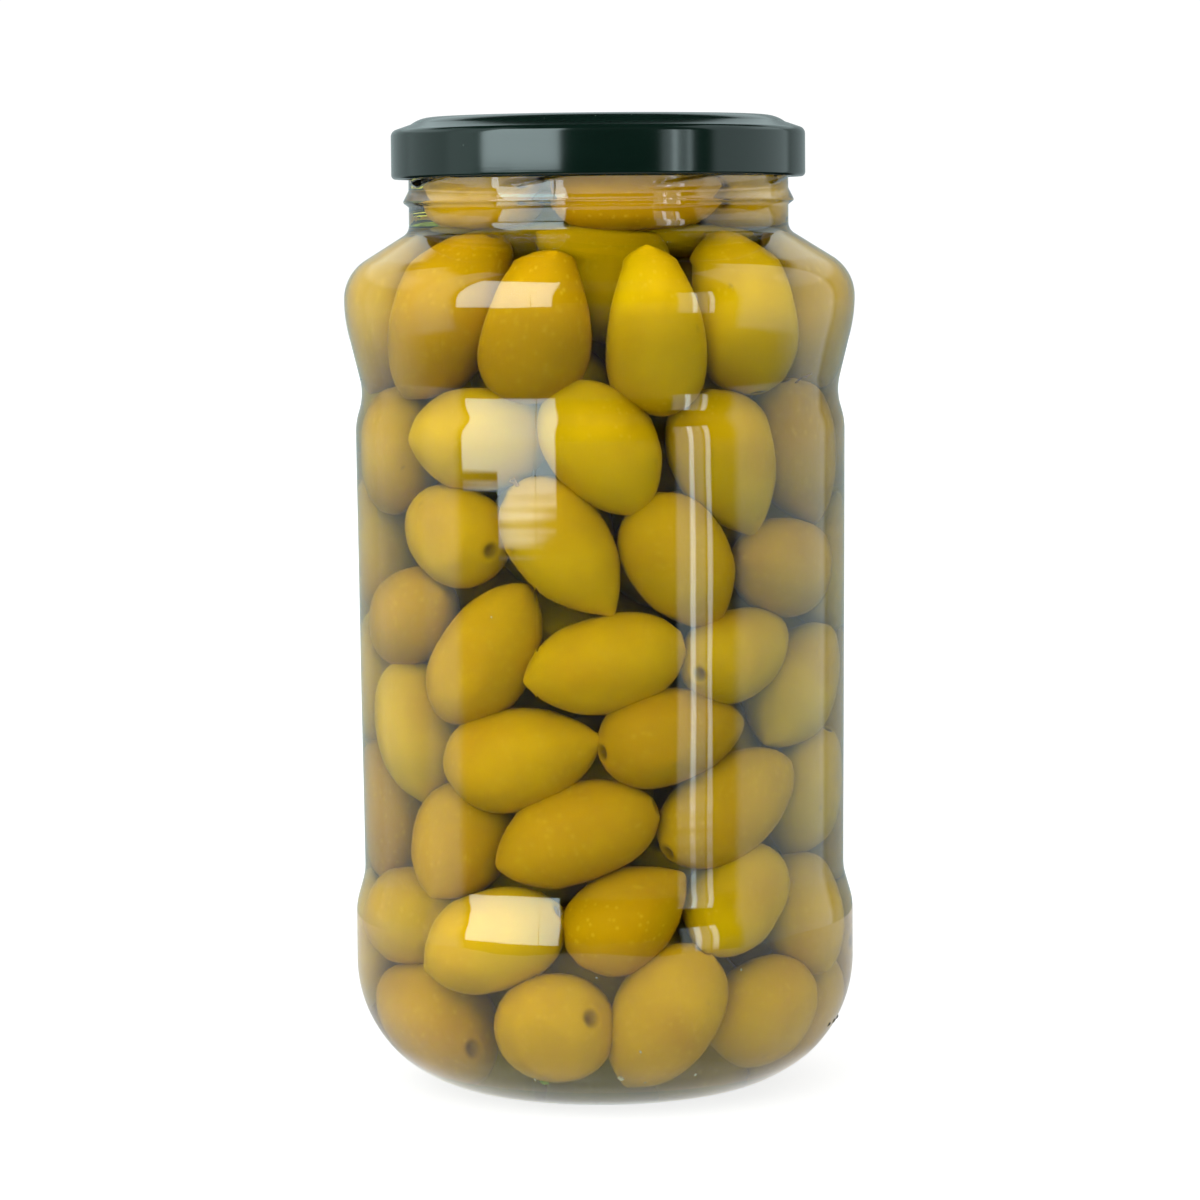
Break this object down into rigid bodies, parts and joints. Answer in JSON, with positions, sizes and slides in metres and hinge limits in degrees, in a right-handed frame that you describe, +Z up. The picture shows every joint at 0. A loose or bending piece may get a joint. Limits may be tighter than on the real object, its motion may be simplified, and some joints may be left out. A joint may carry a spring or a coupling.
{
  "type": "jar of olives",
  "caption": "Clear glass jar with a waisted shoulder and a dark green twist-off lid, filled with whole yellow-green olives in brine.",
  "frame": {"origin": "centre of the standing ring under the jar, on the surface that the jar stands on", "axes": "+Z up along the jar's axis; -Y is the side that faces the viewer, with the mould dots towards +X"},
  "size_m": [0.105, 0.105, 0.2001],
  "materials": {
    "jar_glass": "clear soda-lime glass, moulded",
    "brine": "pale yellow-green brine with olives sunk in it",
    "olive": "cured green olive skin, wet, with fine pale specks",
    "lid_enamel": "dark green gloss enamel on tinplate"
  },
  "bodies": {
    "root": {"jar": "jar_glass", "brine": "brine", "lid": "lid_enamel"}
  },
  "joints": []
}
